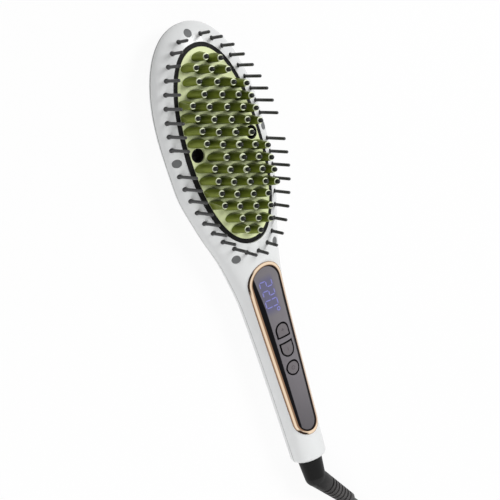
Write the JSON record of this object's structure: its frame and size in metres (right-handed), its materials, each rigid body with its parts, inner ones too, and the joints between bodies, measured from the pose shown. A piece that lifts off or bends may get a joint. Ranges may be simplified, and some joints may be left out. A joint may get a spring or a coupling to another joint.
{
  "type": "heated hair straightening brush",
  "caption": "Paddle-shaped heated straightening brush: oval plate with capped teeth inside a ring of guard pins, display panel with keys on the handle, swivelling cord with coil and plug.",
  "frame": {"origin": "under the middle of the housing, on the surface the brush lies on with its bristles up", "axes": "+Y from the cord end to the head's tip, +Z from the back to the bristles, +X to the right seen from the bristle side with the head up"},
  "size_m": [0.1033, 0.4543, 0.041],
  "materials": {
    "white_housing": "satin gloss",
    "grey_plug": "matte",
    "black_seal": "satin",
    "green_plate": "pearl coating",
    "black_nylon": "gloss",
    "dark_pin": "satin",
    "black_bush": "matte",
    "needle_steel": "polished",
    "rose_gold_trim": "polished",
    "black_lens": "high gloss",
    "key_face": "high gloss",
    "switch_plunger": "matte",
    "screw_steel": "zinc",
    "heater_ceramic": "fired",
    "mica": "matte",
    "spring_steel": "rolled",
    "module_potting": "potted",
    "board_laminate": "solder mask",
    "switch_body": "matte",
    "display_block": "matte",
    "component_sleeve": "satin",
    "lead_silicone": "matte",
    "contact_brass": "bright",
    "black_swivel": "satin",
    "black_cord": "matte",
    "tie_fabric": "matte",
    "prong_metal": "nickel plated"
  },
  "bodies": {
    "housing": {"front_shell": "white_housing", "back_shell": "white_housing", "plate_bezel": "black_seal", "heater_plate": "green_plate", "heater_teeth": "green_plate", "tooth_tips": "black_nylon", "outer_pins": "dark_pin", "screw_plugs": "grey_plug", "housing_screws": "screw_steel", "ion_outlets": "black_bush", "ion_needles": "needle_steel", "ion_module": "module_potting", "heating_element": "heater_ceramic", "mica_sheet": "mica", "heater_clamp": "spring_steel", "clamp_screws": "screw_steel", "thermal_fuse": "needle_steel", "thermistor": "heater_ceramic", "heat_shield": "mica", "panel_trim": "rose_gold_trim", "panel_lens": "black_lens", "key_switches": "switch_body", "control_board": "board_laminate", "board_screws": "screw_steel", "display_module": "display_block", "board_parts": "component_sleeve", "heater_leads": "lead_silicone", "mains_leads": "lead_silicone", "swivel_holder": "black_swivel", "swivel_contacts": "contact_brass"},
    "key_up": {"key_up": "key_face", "stem_up": "switch_plunger"},
    "key_down": {"key_down": "key_face", "stem_down": "switch_plunger"},
    "key_power": {"key_power": "key_face", "stem_power": "switch_plunger"},
    "cord_swivel": {"swivel_hub": "black_swivel", "swivel_rings": "contact_brass", "cord_sleeve": "black_cord", "cord_lead": "black_cord", "cord_coil": "black_cord", "cord_tie": "tie_fabric", "cord_tail": "black_cord", "plug_body": "black_swivel", "plug_prongs": "prong_metal"}
  },
  "joints": [
    {"name": "press_up", "type": "slide", "parent": "housing", "child": "key_up", "axis": [0, 0, -1], "range_m": [0, 0.0004], "stiffness_N_per_m": 1500},
    {"name": "press_down", "type": "slide", "parent": "housing", "child": "key_down", "axis": [0, 0, -1], "range_m": [0, 0.0004], "stiffness_N_per_m": 1500},
    {"name": "press_power", "type": "slide", "parent": "housing", "child": "key_power", "axis": [0, 0, -1], "range_m": [0, 0.0004], "stiffness_N_per_m": 1500},
    {"name": "cord_turn", "type": "hinge", "parent": "housing", "child": "cord_swivel", "pos_m": [0, -0.13865, 0.0125], "axis": [0, 1, 0], "continuous": true}
  ]
}
